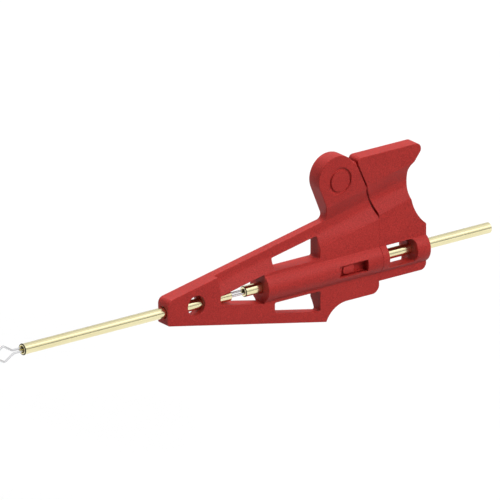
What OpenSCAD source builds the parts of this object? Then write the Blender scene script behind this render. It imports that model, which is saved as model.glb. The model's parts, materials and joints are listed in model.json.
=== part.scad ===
// Test hook probe: a flat moulded body, a thumb slider, two plated tubes and a pair of wire hooks.
// X runs along the tubes from the hooks to the contact pin, Z is up, Y is across the flat body.
// X is 0 where the free contact pin starts. The slider is drawn pressed, with the hooks out and open.

/* [Tubes] */
// Outside diameter of both tubes
tube_d = 0.80; // [0.78:0.01:0.82]
// Inside diameter of both tubes
tube_bore_d = 0.42; // [0.42:0.01:0.46]
// Inside diameter of the guide tube's flared mouth
mouth_d = 0.56; // [0.52:0.01:0.6]
// Length of the flared mouth
mouth_len = 0.42; // [0.3:0.01:0.6]
// Height of the lip round the flared mouth
mouth_lip = 0.03; // [0.02:0.01:0.04]
// Front end of the guide tube
guide_front_x = -35.81; // [-36:0.01:-35.6]
// Rear end of the guide tube
guide_rear_x = -17.43; // [-17.7:0.01:-17.2]
// Front end of the contact tube
contact_front_x = -16.19; // [-16.4:0.01:-16]
// Rear end of the contact pin
pin_end_x = 5.97; // [5.5:0.01:6.5]
// Diameter of the collar that holds the contact tube in the rear boss
collar_d = 1.24; // [1.2:0.01:1.3]
// Forward end of that collar
collar_x = -1.00; // [-1.04:0.01:-0.96]
// Length of that collar
collar_len = 0.72; // [0.68:0.01:0.74]
// Chamfer at the tube ends
tube_chamfer = 0.05; // [0.04:0.01:0.08]

/* [Wires and hooks] */
// Diameter of each spring wire
wire_d = 0.16; // [0.14:0.01:0.16]
// Offset of each wire from the tube axis, across and up
wire_offset = 0.085; // [0.083:0.001:0.086]
// Place where the two wires part
split_x = -36.62; // [-36.7:0.01:-36.5]
// Reach of the hook elbows ahead of the parting place
elbow_reach = 0.80; // [0.75:0.01:0.86]
// Height of the hook elbows above the tube axis
elbow_z = 0.58; // [0.5:0.01:0.64]
// Reach of the hook tips ahead of the parting place
tip_reach = 1.21; // [1.15:0.01:1.27]
// Height of the hook tips above the tube axis
tip_z = 0.34; // [0.3:0.01:0.38]
// Radius of the bend in a hook
bend_r = 0.16; // [0.12:0.01:0.2]
// Radius of the bend where the two wires part
root_r = 0.30; // [0.2:0.02:0.4]
// Rear end of the wires
wire_end_x = -13.60; // [-13.9:0.05:-13.2]
// Length of the solder plug
plug_len = 2.00; // [1.6:0.1:2.4]

/* [Body outline] */
// Nose end face
nose_x = -23.34; // [-23.5:0.01:-23.2]
// Height of the nose end above the tube axis
nose_up = 0.97; // [0.92:0.01:1.02]
// Height of the nose end below the tube axis
nose_down = 0.89; // [0.84:0.01:0.94]
// Slope of the top and bottom edges, in degrees
edge_angle = 11.25; // [10.9:0.05:11.6]
// Radius of the nose's upper corner
nose_top_r = 0.50; // [0.3:0.05:0.6]
// Radius of the nose's lower corner
nose_low_r = 0.20; // [0.1:0.05:0.4]
// Rear face of the body
rear_x = -4.43; // [-4.5:0.01:-4.36]
// Height where the slanted parting line starts
part_z = 3.28; // [3.1:0.01:3.4]
// Forward end of the parting line
part_top_x = -6.59; // [-6.65:0.01:-6.53]
// Upper end of the parting line
part_top_z = 7.94; // [7.9:0.01:8]
// Centre of the finger ear along the tubes
ear_x = -8.16; // [-8.2:0.01:-8.12]
// Centre of the finger ear above the tubes
ear_z = 7.02; // [6.98:0.01:7.06]
// Radius of the finger ear
ear_r = 1.68; // [1.64:0.01:1.7]
// Foot of the ear's front edge along the tubes
neck_x = -8.95; // [-9:0.01:-8.9]
// Foot of the ear's front edge above the tubes
neck_z = 4.50; // [4.45:0.01:4.55]
// Radius between the ear and the top edge
neck_r = 0.42; // [0.36:0.02:0.48]
// Centre of the finger hollow along the tubes
hollow_x = -7.33; // [-7.4:0.01:-7.25]
// Depth of the finger hollow's centre below the tubes
hollow_z = 4.50; // [4.45:0.01:4.55]
// Radius of the finger hollow
hollow_r = 2.00; // [1.95:0.01:2.05]
// Radius of the lobe's rear corner
lobe_r = 0.60; // [0.4:0.05:0.6]

/* [Body thickness] */
// Thickness of the body plate
plate_t = 1.22; // [1.18:0.01:1.26]
// Radius of the finger valleys
valley_r = 2.17; // [2.1:0.01:2.25]
// Distance of a valley's floor from the middle of the plate
valley_floor = 0.10; // [0.05:0.01:0.15]
// Distance of a valley's middle inside the sloping edge
valley_inset = 0.22; // [0.16:0.01:0.28]
// Forward end of the valleys
valley_x = -18.88; // [-19.1:0.01:-18.7]
// Radius of the barrel
barrel_r = 1.15; // [1.12:0.01:1.18]
// Radius of the barrel's bore
barrel_bore_r = 0.84; // [0.82:0.01:0.86]
// Thickness of the wall at the barrel's front end
barrel_wall = 0.90; // [0.7:0.05:1.1]

/* [Body openings] */
// Centre of the inspection hole along the tubes
view_hole_x = -20.80; // [-20.95:0.01:-20.7]
// Height of the inspection hole's centre above the tube axis, on the near side
view_hole_z = 0.12; // [0:0.01:0.15]
// Diameter of the inspection hole
view_hole_d = 1.50; // [1.3:0.05:1.6]
// Forward end of the wire window
wire_window_x = -18.63; // [-18.7:0.01:-18.5]
// Half height of the wire window's forward end
wire_window_low = 0.30; // [0.29:0.01:0.34]
// Half height of the wire window's rear end
wire_window_high = 1.10; // [1:0.01:1.15]
// Front face of the barrel
barrel_x = -14.73; // [-14.85:0.01:-14.6]
// Forward end of the truss windows
truss_front_x = -13.78; // [-13.9:0.01:-13.6]
// Rear end of the truss windows
truss_rear_x = -9.73; // [-9.85:0.01:-9.6]
// Distance of the truss windows from the tube axis
truss_inner_z = 1.22; // [1.2:0.01:1.3]
// Height of the upper strut, square to its edge
upper_strut = 0.79; // [0.75:0.01:0.85]
// Height of the lower strut, square to its edge
lower_strut = 0.79; // [0.75:0.01:0.85]
// Corner radius of the truss windows
window_r = 0.14; // [0.08:0.01:0.2]
// Forward end of the catch slot
slot_front_x = -8.30; // [-8.4:0.01:-8.2]
// Height of the catch slot
slot_h = 0.85; // [0.8:0.01:0.9]
// Distance of the ring behind the ear's centre
ring_back = 0.21; // [0.15:0.01:0.25]
// Distance of the ring below the ear's centre
ring_drop = 0.25; // [0.2:0.01:0.3]
// Outer radius of the ring on the ear
ring_r = 1.00; // [0.9:0.05:1.1]
// Width of the ring's groove
ring_w = 0.20; // [0.14:0.02:0.26]
// Depth of the ring's groove
ring_depth = 0.12; // [0.08:0.01:0.16]

/* [Thumb slider] */
// Travel of the slider from pressed to released
stroke = 1.15; // [1.05:0.01:1.2]
// Rear face of the slider
slider_rear_x = -0.15; // [-0.2:0.01:-0.1]
// Thickness of the slider plate
slider_t = 1.16; // [1.12:0.01:1.2]
// Top edge of the slider
slider_top_z = 8.12; // [8.05:0.01:8.2]
// Bottom edge of the slider below the tubes
slider_low_z = 1.64; // [1.6:0.01:1.7]
// Radius of the slider's lower rear corner
slider_corner_r = 0.50; // [0.4:0.05:0.6]
// Centre of the thumb rest along the tubes
thumb_x = -0.43; // [-0.48:0.01:-0.38]
// Centre of the thumb rest above the tubes
thumb_z = 5.95; // [5.9:0.01:6]
// Radius of the thumb rest
thumb_r = 1.14; // [1.1:0.01:1.18]
// Centre of the lower sweep along the tubes
sweep_x = 2.17; // [2.12:0.01:2.22]
// Centre of the lower sweep above the tubes
sweep_z = 4.79; // [4.74:0.01:4.84]
// Radius of the lower sweep
sweep_r = 3.75; // [3.72:0.01:3.78]
// Radius of the slider's upper rear tip
tip_r = 0.45; // [0.4:0.01:0.5]
// Centre of the upper rear tip along the tubes
tip_x = -1.10; // [-1.15:0.01:-1.05]
// Radius of the slider's upper front corner
wing_r = 0.36; // [0.25:0.01:0.4]
// Gap along the slanted parting line
part_gap = 0.12; // [0.08:0.01:0.16]
// Gap between slider and body when pressed
press_gap = 0.02; // [0.01:0.01:0.04]
// Radius of the rear boss
boss_r = 1.15; // [1.12:0.01:1.18]
// Forward end of the rear window
rear_window_front_x = -3.83; // [-3.9:0.01:-3.7]
// Rear end of the rear window
rear_window_rear_x = -1.33; // [-1.45:0.01:-1.25]
// Height of the rear window above the tube axis, on the near side
rear_window_up = 0.98; // [0.9:0.01:1]
// Height of the rear window below the tube axis, on the near side
rear_window_down = 0.66; // [0.62:0.01:0.72]
// Corner radius of the rear window
rear_window_r = 0.35; // [0.2:0.05:0.4]
// Forward end of the tongue
tongue_x = -8.60; // [-8.75:0.01:-8.5]
// Forward end of the catch
catch_front_x = -7.93; // [-8:0.01:-7.9]
// Stop face of the catch
catch_stop_x = -6.95; // [-7:0.01:-6.95]
// Radius that the catch reaches from the tube axis
catch_r = 1.08; // [1:0.01:1.1]

/* [Spring and fits] */
// Wire diameter of the return spring
spring_wire_d = 0.14; // [0.12:0.01:0.16]
// Mean radius of the return spring
spring_r = 0.62; // [0.6:0.01:0.64]
// Coils of the return spring
spring_turns = 9; // [7:1:10]
// Running clearance of the contact tube in the barrel's wall
tube_clear = 0.03; // [0.02:0.01:0.05]
// Running clearance of the tongue in the barrel
tongue_clear = 0.04; // [0.03:0.01:0.06]
// Clearance above and below the catch
catch_clear = 0.04; // [0.03:0.01:0.06]
// Interference of the pressed tubes
press_fit = 0.005; // [0.004:0.001:0.008]
// Depth of the relief round the guide tube at the nose
relief_len = 0.40; // [0.3:0.05:0.6]
// Width of that relief round the tube
relief_w = 0.06; // [0.04:0.01:0.07]

/* [Hidden] */
$fn = 72;
red = [0.66, 0.19, 0.19];
gold = [0.86, 0.75, 0.45];
steel = [0.75, 0.76, 0.78];
tube_r = tube_d / 2;
bore_r = tube_bore_d / 2;
wire_r = wire_d / 2;
plate_half = plate_t / 2;
slider_half = slider_t / 2;
slope = tan(edge_angle);
far = 60;
// Trace by which a round overruns its tangent, so that the two edges cross cleanly
ease = 0.004;

// Height of the top edge at a place along the tubes
function top_z(x) = nose_up + slope * (x - nose_x);

// Height of the bottom edge at a place along the tubes
function low_z(x) = -nose_down - slope * (x - nose_x);

// Direction from one point to another
function heading(p, q) = atan2(q[1] - p[1], q[0] - p[0]);

// Point at a distance and heading from another
function step_to(p, d, a) = [p[0] + d * cos(a), p[1] + d * sin(a)];

// Angle from zero up to a full turn
function turn(a) = a < 0 ? turn(a + 360) : a >= 360 ? turn(a - 360) : a;

// Where the ear's front edge leaves the ear's circle
ear_c = [ear_x, ear_z];
neck = [neck_x, neck_z];
ear_far = norm(neck - ear_c);
ear_touch = step_to(ear_c, ear_r, heading(ear_c, neck) - acos(ear_r / ear_far));
neck_a = heading(neck, ear_touch);
// Where the ear's front edge would meet the top edge
neck_drop = (neck_z - top_z(neck_x)) / (sin(neck_a) - slope * cos(neck_a));
neck_foot = step_to(neck, -neck_drop, neck_a);
// Round between the ear's front edge and the top edge
neck_half = (180 + edge_angle - neck_a) / 2;
neck_reach = neck_r / tan(neck_half);
neck_c = step_to(neck_foot, neck_r / sin(neck_half), neck_a + neck_half);

// Bottom of the lobe behind the finger hollow
lobe_z = hollow_r - hollow_z;

// Straight runs above and below the thumb rest
tip_c = [tip_x, slider_top_z - tip_r];
thumb_c = [thumb_x, thumb_z];
tip_far = norm(thumb_c - tip_c);
tip_a = heading(tip_c, thumb_c) + acos((tip_r + thumb_r) / tip_far);
tip_touch = step_to(tip_c, tip_r, tip_a);
thumb_touch = step_to(thumb_c, -thumb_r, tip_a);
run_foot = [sweep_x - sweep_r, sweep_z];
run_far = norm(run_foot - thumb_c);
run_touch = step_to(thumb_c, thumb_r, heading(thumb_c, run_foot) - acos(thumb_r / run_far));

// Parting line
part_a = heading([rear_x, part_z], [part_top_x, part_top_z]);
part_shift = part_gap / sin(part_a);
slider_front_x = rear_x + press_gap;
wing_front_x = rear_x + part_shift + (slider_top_z - part_z) / tan(part_a);
slot_rear_x = catch_stop_x + stroke + press_gap;

// Straight runs and bend of a hook, seen from the side
arm = [-elbow_reach, elbow_z - wire_offset];
beak = [elbow_reach - tip_reach, tip_z - elbow_z];
arm_a = atan2(arm[1], arm[0]);
bend_a = atan2(beak[1], -beak[0]) * -1 + 180 - arm_a;
bend_reach = bend_r * tan(bend_a / 2);
arm_rise = 180 - arm_a;
root_reach = root_r * tan(arm_rise / 2);
arm_run = norm(arm) - bend_reach - root_reach;
bend_x = root_reach + arm_run;
beak_run = norm(beak) - bend_reach;
// The straight runs are a trace thinner than the bends and reach a little way into them
run_r = wire_r - 0.002;
seat = 0.02;

// Runs of the spring
spring_front = barrel_x + barrel_wall;
spring_len = tongue_x - spring_front;
spring_wire_r = spring_wire_d / 2;
spring_run = spring_len - spring_wire_d;
end_pitch = spring_wire_d * 1.05;
coil_pitch = (spring_run - 2 * end_pitch) / (spring_turns - 2);
spring_steps = 20;
spring_sides = 8;

// Draws along X from a given place
module at_x(x) {
  translate([x, 0, 0])
    rotate([0, 90, 0])
      children();
}

// Thickens a side view equally to both sides
module thick(t) {
  rotate([90, 0, 0])
    linear_extrude(height = t, center = true)
      children();
}

// Cuts a side view into the near half, and the same view turned over into the far half
module near_and_far() {
  for (a = [0, 180])
    rotate([90 + a, 0, 0])
      linear_extrude(height = far)
        children();
}

// The piece between a corner and the arc that rounds it, carried on past the corner by a margin
module corner_piece(q, a, opening, r) {
  half = opening / 2;
  reach = r / tan(half);
  c = step_to(q, r / sin(half), a + half);
  difference() {
    polygon([step_to(q, -r / 2, a + half), step_to(q, reach, a), c, step_to(q, reach, a + opening)]);
    translate(c)
      circle(r = r + ease);
  }
}

// A convex outline, drawn anticlockwise, with its corners rounded
module rounded(points, radii) {
  n = len(points);
  difference() {
    polygon(points);
    for (i = [0 : n - 1]) {
      a = heading(points[i], points[(i + 1) % n]);
      b = heading(points[i], points[(i + n - 1) % n]);
      if (radii[i] > 0) corner_piece(points[i], a, turn(b - a), radii[i]);
    }
  }
}

// Finger valley along the top edge, on the near side
module upper_valley() {
  translate([valley_x, 0, top_z(valley_x)])
    rotate([0, -edge_angle, 0])
      translate([0, -valley_floor - valley_r, -valley_inset])
        rotate([0, 90, 0])
          cylinder(r = valley_r, h = far);
}

// Finger valley along the bottom edge, on the far side
module lower_valley() {
  translate([valley_x, 0, low_z(valley_x)])
    rotate([0, edge_angle, 0])
      translate([0, valley_floor + valley_r, valley_inset])
        rotate([0, 90, 0])
          cylinder(r = valley_r, h = far);
}

// Side view of the body without its windows
module body_side() {
  difference() {
    union() {
      polygon([
        [nose_x, -nose_down],
        [hollow_x, low_z(hollow_x)],
        [rear_x, low_z(hollow_x)],
        [rear_x, part_z],
        [part_top_x, part_top_z],
        ear_c,
        ear_touch,
        step_to(neck_foot, neck_reach, neck_a),
        neck_c,
        step_to(neck_foot, neck_reach, 180 + edge_angle),
        [nose_x, nose_up]
      ]);
      translate(ear_c)
        circle(r = ear_r + ease);
    }
    translate(neck_c)
      circle(r = neck_r + ease);
    corner_piece([nose_x, nose_up], -90, 90 + edge_angle, nose_top_r);
    corner_piece([nose_x, -nose_down], -edge_angle, 90 + edge_angle, nose_low_r);
    translate([hollow_x, -hollow_z])
      circle(r = hollow_r);
    translate([hollow_x, -far + lobe_z])
      square([far, far]);
    corner_piece([rear_x, lobe_z], 90, 90, lobe_r);
  }
}

// Side view of the upper truss window
module upper_window() {
  drop = upper_strut / cos(edge_angle);
  rounded([
    [truss_front_x, truss_inner_z],
    [truss_rear_x, truss_inner_z],
    [truss_rear_x, top_z(truss_rear_x) - drop],
    [truss_front_x, top_z(truss_front_x) - drop]
  ], [window_r, window_r, window_r, window_r]);
}

// Side view of the lower truss window
module lower_window() {
  lift = lower_strut / cos(edge_angle);
  rounded([
    [truss_front_x, low_z(truss_front_x) + lift],
    [truss_rear_x, low_z(truss_rear_x) + lift],
    [truss_rear_x, -truss_inner_z],
    [truss_front_x, -truss_inner_z]
  ], [window_r, window_r, window_r, window_r]);
}

// Side view of the window where the wires show
module wire_window() {
  polygon([
    [wire_window_x, -wire_window_low],
    [barrel_x, -wire_window_high],
    [barrel_x, wire_window_high],
    [wire_window_x, wire_window_low]
  ]);
}

// Moulded body
module body() {
  color(red)
    difference() {
      union() {
        difference() {
          thick(plate_t)
            body_side();
          upper_valley();
          lower_valley();
        }
        at_x(barrel_x)
          cylinder(r = barrel_r, h = rear_x - barrel_x);
      }
      thick(far) upper_window();
      thick(far) lower_window();
      thick(far) wire_window();
      near_and_far()
        translate([view_hole_x, view_hole_z])
          circle(d = view_hole_d);
      at_x(nose_x - 1)
        cylinder(r = tube_r - press_fit, h = wire_window_x - nose_x + 1.5);
      at_x(nose_x - 1)
        cylinder(r = tube_r + relief_w, h = relief_len + 1);
      at_x(barrel_x - 0.5)
        cylinder(r = tube_r + tube_clear, h = barrel_wall + 1);
      at_x(spring_front)
        cylinder(r = barrel_bore_r, h = far);
      translate([slot_front_x, -far / 2, -slot_h / 2])
        cube([slot_rear_x - slot_front_x, far, slot_h]);
      translate([ear_x + ring_back, -plate_half, ear_z - ring_drop])
        rotate([90, 0, 0])
          difference() {
            cylinder(r = ring_r, h = 2 * ring_depth, center = true);
            cylinder(r = ring_r - ring_w, h = 1, center = true);
          }
    }
}

// Side view of the slider without its window
module slider_side() {
  difference() {
    union() {
      polygon([
        [slider_front_x, -slider_low_z],
        [slider_rear_x, -slider_low_z],
        [slider_rear_x, sweep_z - sweep_r / 2],
        run_foot,
        run_touch,
        thumb_c,
        thumb_touch,
        tip_touch,
        tip_c,
        [tip_x, slider_top_z],
        [wing_front_x, slider_top_z],
        [slider_front_x, part_z + (slider_front_x - rear_x - part_shift) * tan(part_a)]
      ]);
      translate(tip_c)
        circle(r = tip_r + ease);
    }
    corner_piece([slider_rear_x, -slider_low_z], 90, 90, slider_corner_r);
    corner_piece([wing_front_x, slider_top_z], part_a - 180, 180 - part_a, wing_r);
    translate(thumb_c)
      circle(r = thumb_r + ease);
    translate([sweep_x, sweep_z])
      circle(r = sweep_r + ease);
  }
}

// Catch of the tongue, round in front and flat at its stop face
module catch_side() {
  r = slot_h / 2 - catch_clear;
  translate([catch_front_x + r, 0])
    circle(r = r);
  translate([catch_front_x + r, -r])
    square([catch_stop_x - catch_front_x - r, 2 * r]);
}

// Thumb slider
module thumb_slider() {
  tongue_r = barrel_bore_r - tongue_clear;
  color(red)
    difference() {
      union() {
        difference() {
          thick(slider_t)
            slider_side();
          translate([-stroke, 0, 0])
            upper_valley();
        }
        at_x(slider_front_x)
          cylinder(r = boss_r, h = slider_rear_x - slider_front_x);
        at_x(tongue_x)
          cylinder(r = tongue_r, h = slider_front_x - tongue_x + 0.5);
        intersection() {
          thick(2 * barrel_r)
            catch_side();
          at_x(tongue_x)
            cylinder(r = catch_r, h = slot_rear_x - tongue_x);
        }
      }
      near_and_far()
        rounded([
          [rear_window_front_x, -rear_window_down],
          [rear_window_rear_x, -rear_window_down],
          [rear_window_rear_x, rear_window_up],
          [rear_window_front_x, rear_window_up]
        ], [window_r, rear_window_r, rear_window_r, window_r]);
      at_x(tongue_x - 1)
        cylinder(r = tube_r - press_fit, h = far);
      at_x(collar_x)
        cylinder(r = collar_d / 2 - press_fit, h = collar_len);
    }
}

// A plain tube with chamfered ends
module tube(front, rear) {
  difference() {
    union() {
      at_x(front)
        cylinder(r1 = tube_r - tube_chamfer, r2 = tube_r, h = tube_chamfer);
      at_x(front + tube_chamfer)
        cylinder(r = tube_r, h = rear - front - 2 * tube_chamfer);
      at_x(rear - tube_chamfer)
        cylinder(r1 = tube_r, r2 = tube_r - tube_chamfer, h = tube_chamfer);
    }
    at_x(front - 1)
      cylinder(r = bore_r, h = rear - front + 2);
  }
}

// Plated tube fixed in the nose
module guide_tube() {
  color(gold)
    difference() {
      union() {
        tube(guide_front_x, guide_rear_x);
        at_x(guide_front_x)
          cylinder(r1 = tube_r, r2 = tube_r + mouth_lip, h = tube_chamfer);
        at_x(guide_front_x + tube_chamfer)
          cylinder(r1 = tube_r + mouth_lip, r2 = tube_r - mouth_lip, h = mouth_len);
      }
      at_x(guide_front_x - 1)
        cylinder(r = bore_r, h = far);
      at_x(guide_front_x)
        cylinder(r1 = mouth_d / 2, r2 = bore_r, h = mouth_len);
    }
}

// Plated tube fixed in the slider by its collar, ending in the contact pin
module contact_tube() {
  color(gold)
    difference() {
      union() {
        tube(contact_front_x, pin_end_x);
        at_x(collar_x)
          cylinder(d = collar_d, h = collar_len);
      }
      at_x(contact_front_x - 1)
        cylinder(r = bore_r, h = far);
    }
}

// An arc of wire that starts along X and bends by an angle, upward or downward
module wire_arc(r, angle, up) {
  translate([0, 0, up ? r : -r])
    rotate([90, 0, 0])
      rotate([0, 0, up ? -90 : 90 - angle])
        rotate_extrude(angle = angle)
          translate([r, 0])
            circle(r = wire_r);
}

// One spring wire: a straight shank, then the arm and the beak of its hook
module wire() {
  translate([split_x, wire_offset, wire_offset])
    mirror([1, 0, 0]) {
      at_x(split_x - wire_end_x)
        cylinder(r = run_r, h = wire_end_x - split_x - root_reach + seat);
      translate([-root_reach, 0, 0])
        wire_arc(root_r, arm_rise, true);
      rotate([0, -arm_rise, 0]) {
        at_x(root_reach - seat)
          cylinder(r = run_r, h = arm_run + 2 * seat);
        translate([bend_x, 0, 0])
          wire_arc(bend_r, bend_a, false);
        translate([bend_x, 0, -bend_r])
          rotate([0, bend_a, 0])
            translate([0, 0, bend_r])
              at_x(-seat)
                cylinder(r = run_r, h = beak_run + seat);
      }
    }
}

// Upper spring wire and its hook
module upper_wire() {
  color(steel)
    wire();
}

// Lower spring wire and its hook
module lower_wire() {
  color(steel)
    rotate([180, 0, 0])
      wire();
}

// Place of the spring's wire along the barrel after some coils
function coil_x(t) =
  t < 1 ? end_pitch * t :
  t > spring_turns - 1 ? spring_run - end_pitch * (spring_turns - t) :
  end_pitch + coil_pitch * (t - 1);

// Point on the spring's surface
function coil_point(i, j) =
  let (a = 360 * i / spring_steps, b = 360 * j / spring_sides, r = spring_r + spring_wire_r * cos(b))
  [spring_front + spring_wire_r + coil_x(i / spring_steps) + spring_wire_r * sin(b), r * cos(a), r * sin(a)];

// Coil spring in the barrel
module return_spring() {
  n = spring_turns * spring_steps;
  m = spring_sides;
  points = [for (i = [0 : n]) for (j = [0 : m - 1]) coil_point(i, j)];
  sides = [for (i = [0 : n - 1]) for (j = [0 : m - 1])
    [i * m + j, i * m + (j + 1) % m, (i + 1) * m + (j + 1) % m, (i + 1) * m + j]];
  start = [[for (j = [0 : m - 1]) m - 1 - j]];
  end = [[for (j = [0 : m - 1]) n * m + j]];
  color(steel)
    polyhedron(points = points, faces = concat(sides, start, end), convexity = 10);
}

// Solder that holds both wires in the contact tube
module solder_plug() {
  color(steel)
    difference() {
      at_x(wire_end_x - plug_len / 2)
        cylinder(r = bore_r, h = plug_len);
      for (s = [1, -1])
        translate([0, s * wire_offset, s * wire_offset])
          at_x(wire_end_x - plug_len)
            cylinder(r = wire_r, h = plug_len);
    }
}

body();
thumb_slider();
guide_tube();
contact_tube();
upper_wire();
lower_wire();
return_spring();
solder_plug();
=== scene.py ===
import json
import math

import bmesh
import bpy
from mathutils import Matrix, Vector


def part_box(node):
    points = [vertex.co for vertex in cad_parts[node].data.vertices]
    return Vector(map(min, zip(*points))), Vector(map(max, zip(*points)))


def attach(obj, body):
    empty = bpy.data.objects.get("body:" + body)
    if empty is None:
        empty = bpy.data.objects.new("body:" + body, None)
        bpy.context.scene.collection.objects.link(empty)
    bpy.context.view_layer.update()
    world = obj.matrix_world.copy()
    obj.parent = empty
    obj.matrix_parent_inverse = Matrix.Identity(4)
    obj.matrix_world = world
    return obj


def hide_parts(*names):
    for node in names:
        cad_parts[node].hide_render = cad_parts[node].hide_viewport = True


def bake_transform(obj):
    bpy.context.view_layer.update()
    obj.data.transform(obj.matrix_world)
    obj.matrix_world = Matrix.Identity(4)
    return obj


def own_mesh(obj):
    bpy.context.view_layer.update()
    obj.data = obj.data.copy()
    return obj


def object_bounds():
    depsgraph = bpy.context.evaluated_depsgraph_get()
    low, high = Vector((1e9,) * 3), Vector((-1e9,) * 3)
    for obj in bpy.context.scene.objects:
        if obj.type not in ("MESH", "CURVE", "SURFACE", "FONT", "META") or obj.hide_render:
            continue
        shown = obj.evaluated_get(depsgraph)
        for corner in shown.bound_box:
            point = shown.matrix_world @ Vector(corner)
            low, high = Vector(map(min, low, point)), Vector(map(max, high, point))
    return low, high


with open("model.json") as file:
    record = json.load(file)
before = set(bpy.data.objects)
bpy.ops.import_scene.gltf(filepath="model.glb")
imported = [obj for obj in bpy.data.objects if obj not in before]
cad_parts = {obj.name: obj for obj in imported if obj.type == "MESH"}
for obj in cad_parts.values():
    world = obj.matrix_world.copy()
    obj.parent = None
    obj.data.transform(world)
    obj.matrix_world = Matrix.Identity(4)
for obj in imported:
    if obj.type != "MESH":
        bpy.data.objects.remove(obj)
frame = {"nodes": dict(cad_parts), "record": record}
cad_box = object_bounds()

MM = 0.001

# Moulded plastic, in millimetres and degrees
WELD = 0.0005
FLAT_ANGLE = 0.4
EDGE_ANGLE = 34
EDGE_ROUND = 0.04
EDGE_STEPS = 3
ROUND_PROFILE = 0.5
SMOOTH_ANGLE = 38

# Seam between body and slider, in millimetres
SEAM_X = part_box("body")[1].x / MM
SEAM_REACH = 0.05
HAIRLINE_REACH = 0.035
HAIRLINE = 0.010

# Finger valleys, in degrees
VALLEY_SLOPE = 11.25
RISE_ANGLE = 14
DROP_ANGLE = 6

# Limits for parts of a face's normal, which tell the faces of a moulding apart
ALONG_LIMIT = 0.02
BANK_LIMIT = 0.8
PLATE_LIMIT = 0.999
TONGUE_LIMIT = 0.1

# Catches of the slider's tongue and the hollows behind them, in millimetres
CATCH_R = 1.08
CATCH_TOP_R = 0.92
CATCH_SLACK = 0.04
CATCH_STOP_X = -6.95
TONGUE_END_X = -4.70
TONGUE_SIDE = 0.6
POCKET_FROM = -6.90
POCKET_TO = -5.70
POCKET_HALF = 0.385
POCKET_FLOOR = 0.46

# Tubes, in millimetres
TUBE_R = frame["record"]["mounts"][0]["dims"]["r_mm"]
BORE_R = 0.21
END_CHAMFER = 0.05
END_ROUND = 0.025
MOUTH_R = 0.28
MOUTH_LEN = 0.42
MOUTH_ROUND = 0.012
RIM_R = 0.345
LIP_LEN = 0.21
COLLAR_R = 0.62
COLLAR_FROM = -1.00
COLLAR_TO = -0.28
LATHE_SIDES = 96
CORNER_STEPS = 5

# Wires and hooks, in millimetres
WIRE_R = 0.08
WIRE_OFFSET = 0.085
WIRE_END_X = -13.60
SPLIT_X = -36.62
ELBOW_REACH = 0.80
ELBOW_Z = 0.58
TIP_REACH = 1.21
TIP_Z = 0.34
ROOT_BEND = 0.30
ELBOW_BEND = 0.16
BEND_STEPS = 8
WIRE_SIDES = 20

# Spring and solder, in millimetres
SPRING_WIRE_R = 0.07
SPRING_TURNS = 9
SPRING_END_PITCH = 2.1 * SPRING_WIRE_R
SPRING_STEPS = 48
SPRING_SIDES = 16
SOLDER_CLEAR = 0.0005
SOLDER_DISH = 0.08
SOLDER_ROUND = 0.05
SOLDER_CORE = 0.02

# Finishes: pairs of colours, from the darker to the lighter
RED_FLECKS = ((0.220, 0.009, 0.008), (0.540, 0.038, 0.032))
RED_CLOUDS = ((0.350, 0.019, 0.016), (0.410, 0.026, 0.021))
GOLD_TONES = ((0.80, 0.72, 0.42), (0.90, 0.83, 0.52))
GOLD_STREAKS = ((0.78, 0.69, 0.39), (0.92, 0.85, 0.56))
# The near-black tones of the tube ends are painted shade, over their real cut metal
RIM_SHADE_TONES = ((0.02, 0.018, 0.014), (0.05, 0.045, 0.035))
STEEL_TONES = ((0.64, 0.64, 0.65), (0.78, 0.78, 0.79))
SOLDER_TONES = ((0.52, 0.53, 0.54), (0.68, 0.69, 0.71))
FLOOR_TONES = ((0.18, 0.18, 0.18), (0.22, 0.22, 0.22))
WHITE = (1, 1, 1, 1)
BLACK = (0, 0, 0, 1)

# Noise values at which a change of colour or roughness starts and ends, and those for the red flecks
NOISE_LOW = 0.3
NOISE_HIGH = 0.7
FLECK_LOW = 0.34
FLECK_HIGH = 0.66

# Camera, in degrees and metres, with lens and sensor in millimetres
AZIMUTH = -37.01
ELEVATION = 20.19
AIM = Vector((-15.578, 0, 3.038)) * MM
FRAME_WIDTH = 35.685 * MM
LENS = 1500
SENSOR = 36
CLIP_NEAR = 0.1
CLIP_FAR = 4

# Stage, in metres, with levels where 1 is white
FLOOR_DROP = 0.025
FLOOR_HALF = 1.6
FLOOR_LIFT = 0.74
AMBIENT = 0.1
CARD_MOTTLE = 0.02
HORIZON_R = 0.75
HORIZON_LOW = -0.05
HORIZON_HIGH = 0.19
HORIZON_LEVEL = 0.35
HORIZON_SIDES = 64
SCREEN_HALF = 1.4

# Screens: name, place along Y, lower edge, upper edge and level
SCREENS = (
    ("back", 0.6, 0.4, 2.0, 0.65),
    ("front", -0.6, 0.54, 1.34, 1.6),
)

# Lamps: name, place, size and level
LAMPS = (
    ("key", (0.24, -0.53, 0.44), 0.5, 1.08),
    ("top", (0.07, 0.45, 0.58), 0.5, 0.94),
    ("left", (-0.60, 0.03, 0.30), 0.1, 0.24),
)


def arc(start, centre, sweep, steps):
    """Points of an arc round a centre, from a start point."""
    spoke = start - centre
    points = []
    for i in range(steps + 1):
        a = sweep * i / steps
        x = spoke.x * math.cos(a) - spoke.y * math.sin(a)
        y = spoke.x * math.sin(a) + spoke.y * math.cos(a)
        points.append(centre + Vector((x, y)))
    return points


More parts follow.
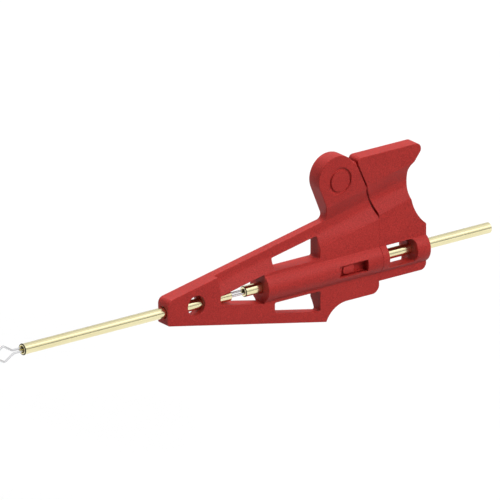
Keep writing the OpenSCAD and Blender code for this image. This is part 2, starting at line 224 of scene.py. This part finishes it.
def rounded_path(corners, steps=CORNER_STEPS):
    """Points of a path whose corners (x, y, radius) are rounded; a corner with no radius stays sharp."""
    points = []
    for i, (x, y, radius) in enumerate(corners):
        corner = Vector((x, y))
        if radius == 0:
            points.append(corner)
            continue
        before = (Vector(corners[i - 1][:2]) - corner).normalized()
        after = (Vector(corners[(i + 1) % len(corners)][:2]) - corner).normalized()
        half = before.angle(after) / 2
        centre = corner + (before + after).normalized() * (radius / math.sin(half))
        side = 1 if before.x * after.y - before.y * after.x < 0 else -1
        start = corner + before * (radius / math.tan(half))
        points += arc(start, centre, side * (math.pi - 2 * half), steps)
    return points


def add_mesh(name, vertices, faces, edges=()):
    """A mesh with smooth faces, from points in millimetres."""
    mesh = bpy.data.meshes.new(name)
    mesh.from_pydata([Vector(v) * MM for v in vertices], edges, faces)
    mesh.shade_smooth()
    return mesh


def add_piece(mesh, node, slot, *materials):
    """A piece of the object that stands for one CAD node, with the name of its mesh."""
    piece = bpy.data.objects.new(mesh.name, mesh)
    bpy.context.scene.collection.objects.link(piece)
    for material in materials:
        mesh.materials.append(material)
    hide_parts(node)
    return piece


def bank(face):
    """Whether a face of a finger valley rises to the plate (1), drops from it (-1), or neither (0)."""
    slope = math.radians(VALLEY_SLOPE)
    side = 1 if face.normal.y > 0 else -1
    along = Vector((math.cos(slope), 0, -side * math.sin(slope)))
    rise = face.normal.dot(Vector((-math.sin(slope), 0, -side * math.cos(slope))))
    least = math.sin(math.radians(RISE_ANGLE if rise > 0 else DROP_ANGLE))
    if abs(face.normal.dot(along)) > ALONG_LIMIT or not least < abs(rise) < BANK_LIMIT:
        return 0
    return math.copysign(1, rise)


def is_lip(edge):
    """Whether an edge is where the plate drops into a finger valley."""
    faces = edge.link_faces
    return min(bank(f) for f in faces) < 0 and max(abs(f.normal.y) for f in faces) > PLATE_LIMIT


def cad_solid(node):
    """A CAD node's mesh in millimetres, with flat faces joined and each bank of a valley made one face."""
    bm = bmesh.new()
    bm.from_mesh(frame["nodes"][node].data)
    bmesh.ops.scale(bm, vec=(1 / MM, 1 / MM, 1 / MM), verts=bm.verts)
    bmesh.ops.remove_doubles(bm, verts=bm.verts, dist=WELD)
    bmesh.ops.dissolve_limit(bm, angle_limit=math.radians(FLAT_ANGLE), verts=bm.verts, edges=bm.edges)
    banks = [e for e in bm.edges if abs(sum(bank(f) for f in e.link_faces)) == 2]
    bmesh.ops.dissolve_edges(bm, edges=banks, use_verts=False)
    return bm


def lower_catches(bm):
    """Brings the tops of the tongue's catches down, further below the barrel's surface."""
    for vert in bm.verts:
        radius = vert.co.yz.length
        if vert.co.x < CATCH_STOP_X + WELD and abs(radius - CATCH_R) < CATCH_SLACK:
            vert.co.yz *= CATCH_TOP_R / CATCH_R


def tongue_faces(bm, side):
    """Faces of the tongue's round surface behind the catch on one side."""
    faces = []
    for face in bm.faces:
        centre = face.calc_center_median()
        behind = CATCH_STOP_X < centre.x < TONGUE_END_X
        if behind and side * centre.y > TONGUE_SIDE and abs(face.normal.x) < TONGUE_LIMIT:
            faces.append(face)
    return faces


def cut_faces(bm, faces, place, normal):
    """Cuts some faces along a plane."""
    edges = dict.fromkeys(e for f in faces for e in f.edges)
    verts = dict.fromkeys(v for f in faces for v in f.verts)
    bmesh.ops.bisect_plane(bm, geom=[*verts, *edges, *faces], dist=WELD, plane_co=place, plane_no=normal)


def sink_pocket(bm, side):
    """Hollows the tongue behind the catch on one side, where the barrel's slot shows it."""
    for x in (POCKET_FROM, POCKET_TO):
        cut_faces(bm, tongue_faces(bm, side), (x, 0, 0), (1, 0, 0))
    for z in (POCKET_HALF, -POCKET_HALF):
        cut_faces(bm, tongue_faces(bm, side), (0, 0, z), (0, 0, 1))
    patch = []
    for face in tongue_faces(bm, side):
        centre = face.calc_center_median()
        if POCKET_FROM < centre.x < POCKET_TO and abs(centre.z) < POCKET_HALF:
            patch.append(face)
    sunk = bmesh.ops.extrude_face_region(bm, geom=patch)["geom"]
    bmesh.ops.delete(bm, geom=patch, context="FACES")
    for vert in sunk:
        if isinstance(vert, bmesh.types.BMVert):
            vert.co.y = side * POCKET_FLOOR


def sharp_edges(bm):
    """Edges sharp enough to soften, each with its greatest distance from the seam."""
    bm.normal_update()
    edges = [e for e in bm.edges if e.calc_face_angle() > math.radians(EDGE_ANGLE)]
    return [(e, max(abs(v.co.x - SEAM_X) for v in e.verts)) for e in edges]


def soften(bm, edges, width, steps):
    """Rounds edges to a width, in a number of steps."""
    bmesh.ops.bevel(bm, geom=edges, offset=width, offset_type="OFFSET", segments=steps, profile=ROUND_PROFILE,
                    affect="EDGES", clamp_overlap=False)
    bmesh.ops.remove_doubles(bm, verts=bm.verts, dist=WELD)


def shaded_mesh(name, bm):
    """The finished mesh in metres, smooth but for its sharp edges and the lips of the valleys."""
    bmesh.ops.scale(bm, vec=(MM, MM, MM), verts=bm.verts)
    bm.normal_update()
    for face in bm.faces:
        face.smooth = True
    for edge in bm.edges:
        edge.smooth = edge.calc_face_angle() < math.radians(SMOOTH_ANGLE) and not is_lip(edge)
    mesh = bpy.data.meshes.new(name)
    bm.to_mesh(mesh)
    bm.free()
    return mesh


def moulding(name, node, catches=False):
    """The CAD node's solid with its edges softened as in a mould, and those at the seam by a hairline."""
    bm = cad_solid(node)
    if catches:
        lower_catches(bm)
    soften(bm, [e for e, off in sharp_edges(bm) if off > SEAM_REACH], EDGE_ROUND, EDGE_STEPS)
    soften(bm, [e for e, off in sharp_edges(bm) if off < HAIRLINE_REACH], HAIRLINE, 1)
    if catches:
        bm.normal_update()
        for side in (-1, 1):
            sink_pocket(bm, side)
    return shaded_mesh(name, bm)


def even_shading(piece):
    """Keeps the flat faces flat beside their rounded edges."""
    weighted = piece.modifiers.new("even_shading", "WEIGHTED_NORMAL")
    weighted.keep_sharp = True


def lathe(name, profile):
    """A closed profile of (x, radius) points turned round the X axis."""
    n = len(profile)
    vertices = []
    for i in range(LATHE_SIDES):
        a = 2 * math.pi * i / LATHE_SIDES
        vertices += [(p.x, p.y * math.cos(a), p.y * math.sin(a)) for p in profile]
    faces = []
    for i in range(LATHE_SIDES):
        here = i * n
        there = (i + 1) % LATHE_SIDES * n
        faces += [(there + k, there + (k + 1) % n, here + (k + 1) % n, here + k) for k in range(n)]
    mesh = add_mesh(name, vertices, faces)
    mesh.set_sharp_from_angle(angle=math.radians(SMOOTH_ANGLE))
    return mesh


def guide_tube_mesh(name):
    """Tube with a flared mouth and a thin lip."""
    low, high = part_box("guide_tube")
    front = low.x / MM
    rear = high.x / MM
    lip_r = high.z / MM
    return lathe(name, rounded_path([
        (front, MOUTH_R, MOUTH_ROUND),
        (front, RIM_R, 0),
        (front, TUBE_R, END_ROUND),
        (front + END_CHAMFER, lip_r, END_ROUND),
        (front + END_CHAMFER + LIP_LEN, TUBE_R, END_ROUND),
        (rear - END_CHAMFER, TUBE_R, END_ROUND),
        (rear, TUBE_R - END_CHAMFER, END_ROUND),
        (rear, BORE_R, END_ROUND),
        (front + MOUTH_LEN, BORE_R, END_ROUND),
    ]))


def contact_tube_mesh(name):
    """Tube with a collar inside the slider, ending in the contact pin."""
    low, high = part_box("contact_tube")
    front = low.x / MM
    rear = high.x / MM
    return lathe(name, rounded_path([
        (front, BORE_R, END_ROUND),
        (front, TUBE_R - END_CHAMFER, END_ROUND),
        (front + END_CHAMFER, TUBE_R, END_ROUND),
        (COLLAR_FROM, TUBE_R, 0),
        (COLLAR_FROM, COLLAR_R, END_ROUND),
        (COLLAR_TO, COLLAR_R, END_ROUND),
        (COLLAR_TO, TUBE_R, 0),
        (rear - END_CHAMFER, TUBE_R, END_ROUND),
        (rear, TUBE_R - END_CHAMFER, END_ROUND),
        (rear, BORE_R, END_ROUND),
    ]))


def darken_rim(mesh, x, inner):
    """Gives the near-black material to the end face of a tube at a place along X, outside a radius: painted
    shade for the dark ring at the tube's end, over its real cut metal.
    """
    for face in mesh.polygons:
        centre = face.center / MM
        if abs(centre.x - x) < END_CHAMFER and centre.yz.length > inner:
            face.material_index = 1


def solder_mesh(name):
    """Plug of solder with dished ends, just inside the contact tube's bore."""
    low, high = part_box("solder_plug")
    front = low.x / MM
    rear = high.x / MM
    radius = high.z / MM - SOLDER_CLEAR
    return lathe(name, rounded_path([
        (front + SOLDER_DISH, SOLDER_CORE, 0),
        (front + SOLDER_DISH, radius / 2, SOLDER_ROUND),
        (front, radius, 0),
        (rear, radius, 0),
        (rear - SOLDER_DISH, radius / 2, SOLDER_ROUND),
        (rear - SOLDER_DISH, SOLDER_CORE, 0),
    ]))


def wire_mesh(name, side):
    """Centre line of a spring wire and its hook, above (1) or below (-1) the tube axis."""
    path = rounded_path([
        (WIRE_END_X, WIRE_OFFSET, 0),
        (SPLIT_X, WIRE_OFFSET, ROOT_BEND),
        (SPLIT_X - ELBOW_REACH, ELBOW_Z, ELBOW_BEND),
        (SPLIT_X - TIP_REACH, TIP_Z, 0),
    ], BEND_STEPS)
    vertices = [(p.x, side * WIRE_OFFSET, side * p.y) for p in path]
    return add_mesh(name, vertices, [], [(i, i + 1) for i in range(len(path) - 1)])


def round_wire(piece, material):
    """Gives a centre line the thickness of a round wire."""
    group = bpy.data.node_groups.new(piece.name, "GeometryNodeTree")
    group.interface.new_socket("Geometry", in_out="INPUT", socket_type="NodeSocketGeometry")
    group.interface.new_socket("Geometry", in_out="OUTPUT", socket_type="NodeSocketGeometry")
    start = group.nodes.new("NodeGroupInput")
    line = group.nodes.new("GeometryNodeMeshToCurve")
    circle = group.nodes.new("GeometryNodeCurvePrimitiveCircle")
    circle.inputs["Resolution"].default_value = WIRE_SIDES
    circle.inputs["Radius"].default_value = WIRE_R * MM
    tube = group.nodes.new("GeometryNodeCurveToMesh")
    tube.inputs["Fill Caps"].default_value = True
    finish = group.nodes.new("GeometryNodeSetMaterial")
    finish.inputs["Material"].default_value = material
    end = group.nodes.new("NodeGroupOutput")
    group.links.new(start.outputs[0], line.inputs["Mesh"])
    group.links.new(line.outputs[0], tube.inputs["Curve"])
    group.links.new(circle.outputs[0], tube.inputs["Profile Curve"])
    group.links.new(tube.outputs[0], finish.inputs["Geometry"])
    group.links.new(finish.outputs[0], end.inputs[0])
    piece.modifiers.new("round_wire", "NODES").node_group = group


def spring_mesh(name):
    """Coil spring with closed end coils, between the barrel's wall and the tongue."""
    low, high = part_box("return_spring")
    run = (high.x - low.x) / MM - 2 * SPRING_WIRE_R
    radius = high.z / MM - SPRING_WIRE_R
    open_turns = SPRING_TURNS - 2
    pitch = (run - 2 * SPRING_END_PITCH) / open_turns
    count = SPRING_TURNS * SPRING_STEPS
    sides = range(SPRING_SIDES)
    vertices = []
    for i in range(count + 1):
        turn = i / SPRING_STEPS
        a = 2 * math.pi * turn
        opened = min(max(turn - 1, 0), open_turns)
        x = low.x / MM + SPRING_WIRE_R + (turn - opened) * SPRING_END_PITCH + opened * pitch
        for j in sides:
            b = 2 * math.pi * j / SPRING_SIDES
            r = radius + SPRING_WIRE_R * math.cos(b)
            vertices.append((x + SPRING_WIRE_R * math.sin(b), r * math.cos(a), r * math.sin(a)))
    faces = []
    for i in range(count):
        here = i * SPRING_SIDES
        there = here + SPRING_SIDES
        for j in sides:
            k = (j + 1) % SPRING_SIDES
            faces.append((there + j, there + k, here + k, here + j))
    faces.append(tuple(sides))
    faces.append(tuple(count * SPRING_SIDES + j for j in reversed(sides)))
    mesh = add_mesh(name, vertices, faces)
    mesh.set_sharp_from_angle(angle=math.radians(SMOOTH_ANGLE))
    return mesh


class Shader:
    """A material's node tree, with short ways to add to it."""

    def __init__(self, name):
        self.material = bpy.data.materials.new(name)
        self.material.use_nodes = True
        self.tree = self.material.node_tree
        self.sockets = self.tree.nodes["Principled BSDF"].inputs
        self.place = self.add("ShaderNodeTexCoord").outputs["Object"]

    def add(self, kind):
        return self.tree.nodes.new(kind)

    def link(self, output, target):
        self.tree.links.new(output, target)

    def noise(self, grain, detail, stretch=1):
        """Noise with grains of a size in millimetres, drawn out along the tubes by a factor."""
        mapping = self.add("ShaderNodeMapping")
        mapping.inputs["Scale"].default_value = (1 / stretch, 1, 1)
        self.link(self.place, mapping.inputs["Vector"])
        noise = self.add("ShaderNodeTexNoise")
        noise.inputs["Scale"].default_value = 1 / (grain * MM)
        noise.inputs["Detail"].default_value = detail
        self.link(mapping.outputs["Vector"], noise.inputs["Vector"])
        return noise.outputs["Fac"]

    def ramp(self, value, tones, start=NOISE_LOW, end=NOISE_HIGH):
        """Turns a value into a colour between two tones."""
        ramp = self.add("ShaderNodeValToRGB")
        for stop, place, tone in zip(ramp.color_ramp.elements, (start, end), tones):
            stop.position = place
            stop.color = (*tone, 1)
        self.link(value, ramp.inputs["Fac"])
        return ramp.outputs["Color"]

    def mixed(self, share, a, b):
        """A colour between two colour sockets, by a value."""
        mix = self.add("ShaderNodeMix")
        mix.data_type = "RGBA"
        self.link(share, mix.inputs["Factor"])
        self.link(a, mix.inputs["A"])
        self.link(b, mix.inputs["B"])
        return mix.outputs["Result"]

    def roughness(self, value, low, high):
        """Lets a value drive the roughness between two levels."""
        spread = self.add("ShaderNodeMapRange")
        spread.inputs["From Min"].default_value = NOISE_LOW
        spread.inputs["From Max"].default_value = NOISE_HIGH
        spread.inputs["To Min"].default_value = low
        spread.inputs["To Max"].default_value = high
        self.link(value, spread.inputs["Value"])
        self.link(spread.outputs["Result"], self.sockets["Roughness"])

    def bump(self, value, depth, strength):
        """Fine relief, with its depth in millimetres."""
        bump = self.add("ShaderNodeBump")
        bump.inputs["Strength"].default_value = strength
        bump.inputs["Distance"].default_value = depth * MM
        self.link(value, bump.inputs["Height"])
        self.link(bump.outputs["Normal"], self.sockets["Normal"])


def red_plastic():
    """Fine-grained matte red moulding with a faint mottle."""
    shader = Shader("red_plastic")
    grain = shader.noise(grain=0.09, detail=2)
    flecks = shader.ramp(grain, RED_FLECKS, FLECK_LOW, FLECK_HIGH)
    clouds = shader.ramp(shader.noise(grain=1.6, detail=2, stretch=2), RED_CLOUDS)
    share = shader.noise(grain=0.4, detail=2)
    shader.link(shader.mixed(share, flecks, clouds), shader.sockets["Base Color"])
    shader.roughness(grain, low=0.46, high=0.62)
    shader.sockets["Specular IOR Level"].default_value = 0.28
    shader.bump(grain, depth=0.010, strength=0.9)
    return shader.material


def plating():
    """Pale gold plating over fine drawing lines."""
    shader = Shader("gold_plating")
    lines = shader.noise(grain=0.05, detail=3, stretch=40)
    tones = shader.ramp(shader.noise(grain=0.7, detail=3, stretch=3), GOLD_TONES)
    streaks = shader.ramp(lines, GOLD_STREAKS)
    share = shader.noise(grain=0.3, detail=2, stretch=8)
    shader.link(shader.mixed(share, tones, streaks), shader.sockets["Base Color"])
    shader.sockets["Metallic"].default_value = 1
    shader.roughness(lines, low=0.14, high=0.24)
    shader.bump(lines, depth=0.002, strength=0.3)
    return shader.material


def rim_shade_metal():
    """Cut end of a tube: the bare metal is real, its near-black tone is painted shade for the dark ring at
    the tube's end.
    """
    shader = Shader("tube_end_painted_shade")
    grain = shader.noise(grain=0.03, detail=3)
    shader.link(shader.ramp(grain, RIM_SHADE_TONES), shader.sockets["Base Color"])
    shader.sockets["Metallic"].default_value = 1
    shader.roughness(grain, low=0.35, high=0.55)
    shader.bump(grain, depth=0.003, strength=0.4)
    return shader.material


def drawn_steel():
    """Bright drawn spring wire."""
    shader = Shader("spring_steel")
    lines = shader.noise(grain=0.03, detail=3, stretch=30)
    shader.link(shader.ramp(lines, STEEL_TONES), shader.sockets["Base Color"])
    shader.sockets["Metallic"].default_value = 1
    shader.roughness(lines, low=0.20, high=0.32)
    shader.bump(lines, depth=0.001, strength=0.3)
    return shader.material


def dull_solder():
    """Dull frozen tin."""
    shader = Shader("solder")
    frost = shader.noise(grain=0.06, detail=4)
    shader.link(shader.ramp(frost, SOLDER_TONES), shader.sockets["Base Color"])
    shader.sockets["Metallic"].default_value = 1
    shader.roughness(frost, low=0.38, high=0.55)
    shader.bump(frost, depth=0.004, strength=0.5)
    return shader.material


def seen_directly(tree):
    """A value that is 1 for what the camera sees itself, in a reflection or through glass."""
    path = tree.nodes.new("ShaderNodeLightPath")
    total = path.outputs["Is Camera Ray"]
    for name in ("Is Glossy Ray", "Is Transmission Ray"):
        either = tree.nodes.new("ShaderNodeMath")
        either.operation = "MAXIMUM"
        tree.links.new(total, either.inputs[0])
        tree.links.new(path.outputs[name], either.inputs[1])
        total = either.outputs[0]
    return total


def floor_paint():
    """Pale matte floor, lifted to white where it is seen, which still takes a shadow."""
    shader = Shader("floor")
    shader.link(shader.ramp(shader.noise(grain=40, detail=2), FLOOR_TONES), shader.sockets["Base Color"])
    shader.sockets["Roughness"].default_value = 0.9
    shader.sockets["Specular IOR Level"].default_value = 0.1
    shader.sockets["Emission Color"].default_value = WHITE
    lift = shader.add("ShaderNodeMath")
    lift.operation = "MULTIPLY"
    lift.inputs[1].default_value = FLOOR_LIFT
    shader.link(seen_directly(shader.tree), lift.inputs[0])
    shader.link(lift.outputs[0], shader.sockets["Emission Strength"])
    return shader.material


def card_paint(level):
    """Even card of a brightness, the same from every side."""
    shader = Shader("card")
    tones = ((level - CARD_MOTTLE,) * 3, (level + CARD_MOTTLE,) * 3)
    shader.link(shader.ramp(shader.noise(grain=60, detail=2), tones), shader.sockets["Emission Color"])
    shader.sockets["Emission Strength"].default_value = 1
    shader.sockets["Base Color"].default_value = BLACK
    return shader.material


def add_stage(name, vertices, faces, material):
    """A mesh of the studio, in metres."""
    mesh = bpy.data.meshes.new(name)
    mesh.from_pydata(vertices, [], faces)
    mesh.materials.append(material)
    thing = bpy.data.objects.new(name, mesh)
    bpy.context.scene.collection.objects.link(thing)
    return thing


def add_floor():
    """Plain pale floor below the probe."""
    level = cad_box[0].z - FLOOR_DROP
    corners = [(-FLOOR_HALF, -FLOOR_HALF), (FLOOR_HALF, -FLOOR_HALF),
               (FLOOR_HALF, FLOOR_HALF), (-FLOOR_HALF, FLOOR_HALF)]
    add_stage("floor", [(x, y, level) for x, y in corners], [(0, 1, 2, 3)], floor_paint())


def add_card(name, vertices, faces, level):
    """A card that only glossy rays see, for the metal to reflect."""
    card = add_stage(name, vertices, faces, card_paint(level))
    card.visible_camera = False
    card.visible_diffuse = False
    card.visible_shadow = False
    card.visible_transmission = False


def add_horizon():
    """Low grey band round the stage."""
    vertices = []
    for i in range(HORIZON_SIDES):
        a = 2 * math.pi * i / HORIZON_SIDES
        x = HORIZON_R * math.cos(a)
        y = HORIZON_R * math.sin(a)
        vertices += [(x, y, HORIZON_LOW), (x, y, HORIZON_HIGH)]
    faces = []
    for i in range(HORIZON_SIDES):
        here = 2 * i
        there = 2 * ((i + 1) % HORIZON_SIDES)
        faces.append((here, there, there + 1, here + 1))
    add_card("horizon", vertices, faces, HORIZON_LEVEL)


def add_screen(name, y, low, high, level):
    """Upright card before or behind the probe."""
    corners = [(-SCREEN_HALF, y, low), (SCREEN_HALF, y, low),
               (SCREEN_HALF, y, high), (-SCREEN_HALF, y, high)]
    add_card(name, corners, [(0, 1, 2, 3)], level)


def add_lamp(name, place, size, level):
    """A soft square lamp that lights the probe to a level, where 1 shows white as white."""
    lamp = bpy.data.lights.new(name, "AREA")
    lamp.shape = "SQUARE"
    lamp.size = size
    lamp.energy = level * math.pi ** 2 * (Vector(place) - AIM).length_squared
    holder = bpy.data.objects.new(name, lamp)
    holder.location = place
    holder.rotation_mode = "QUATERNION"
    holder.rotation_quaternion = (AIM - Vector(place)).to_track_quat("-Z", "Y")
    holder.visible_glossy = False
    bpy.context.scene.collection.objects.link(holder)


def add_world():
    """Even white surroundings, dimmer as a light than as a background."""
    world = bpy.data.worlds.new("studio")
    world.use_nodes = True
    tree = world.node_tree
    seen = tree.nodes["Background"]
    seen.inputs["Color"].default_value = WHITE
    ambient = tree.nodes.new("ShaderNodeBackground")
    ambient.inputs["Color"].default_value = WHITE
    ambient.inputs["Strength"].default_value = AMBIENT
    mix = tree.nodes.new("ShaderNodeMixShader")
    tree.links.new(seen_directly(tree), mix.inputs["Fac"])
    tree.links.new(ambient.outputs[0], mix.inputs[1])
    tree.links.new(seen.outputs[0], mix.inputs[2])
    tree.links.new(mix.outputs[0], tree.nodes["World Output"].inputs["Surface"])
    bpy.context.scene.world = world


def add_camera():
    """Long lens at the photograph's angle."""
    a = math.radians(AZIMUTH)
    e = math.radians(ELEVATION)
    back = Vector((math.sin(a) * math.cos(e), -math.cos(a) * math.cos(e), math.sin(e)))
    camera = bpy.data.cameras.new("camera")
    camera.lens = LENS
    camera.sensor_width = SENSOR
    distance = FRAME_WIDTH * LENS / SENSOR
    camera.clip_start = distance * CLIP_NEAR
    camera.clip_end = distance * CLIP_FAR
    holder = bpy.data.objects.new("camera", camera)
    holder.location = AIM + back * distance
    holder.rotation_mode = "QUATERNION"
    holder.rotation_quaternion = (-back).to_track_quat("-Z", "Y")
    bpy.context.scene.collection.objects.link(holder)
    bpy.context.scene.camera = holder


red = red_plastic()
gold = plating()
# Near-black material for the tube ends: painted shade over their real cut metal
rim_shade = rim_shade_metal()
steel = drawn_steel()

body = add_piece(moulding("moulded_body", "body"), "body", "red_plastic", red)
even_shading(body)
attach(body, "housing")

slider = add_piece(moulding("moulded_slider", "thumb_slider", catches=True), "thumb_slider",
                   "red_plastic", red)
even_shading(slider)
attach(slider, "plunger")

guide = add_piece(guide_tube_mesh("plated_guide_tube"), "guide_tube", "gold_plating", gold, rim_shade)
darken_rim(guide.data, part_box("guide_tube")[0].x / MM, RIM_R)
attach(guide, "housing")

contact = add_piece(contact_tube_mesh("plated_contact_tube"), "contact_tube", "gold_plating", gold, rim_shade)
darken_rim(contact.data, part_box("contact_tube")[0].x / MM, RIM_R)
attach(contact, "plunger")

for name, node, side in (("upper_hook_wire", "upper_wire", 1), ("lower_hook_wire", "lower_wire", -1)):
    wire = add_piece(wire_mesh(name, side), node, "spring_steel", steel)
    round_wire(wire, steel)
    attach(wire, "plunger")
    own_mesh(wire)

spring = add_piece(spring_mesh("coil_spring"), "return_spring", "spring_steel", steel)
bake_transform(spring)

plug = add_piece(solder_mesh("solder_bead"), "solder_plug", "solder", dull_solder())
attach(plug, "plunger")

add_floor()
add_horizon()
for screen in SCREENS:
    add_screen(*screen)
add_world()
for lamp in LAMPS:
    add_lamp(*lamp)
add_camera()
bpy.context.scene.view_settings.view_transform = "Standard"
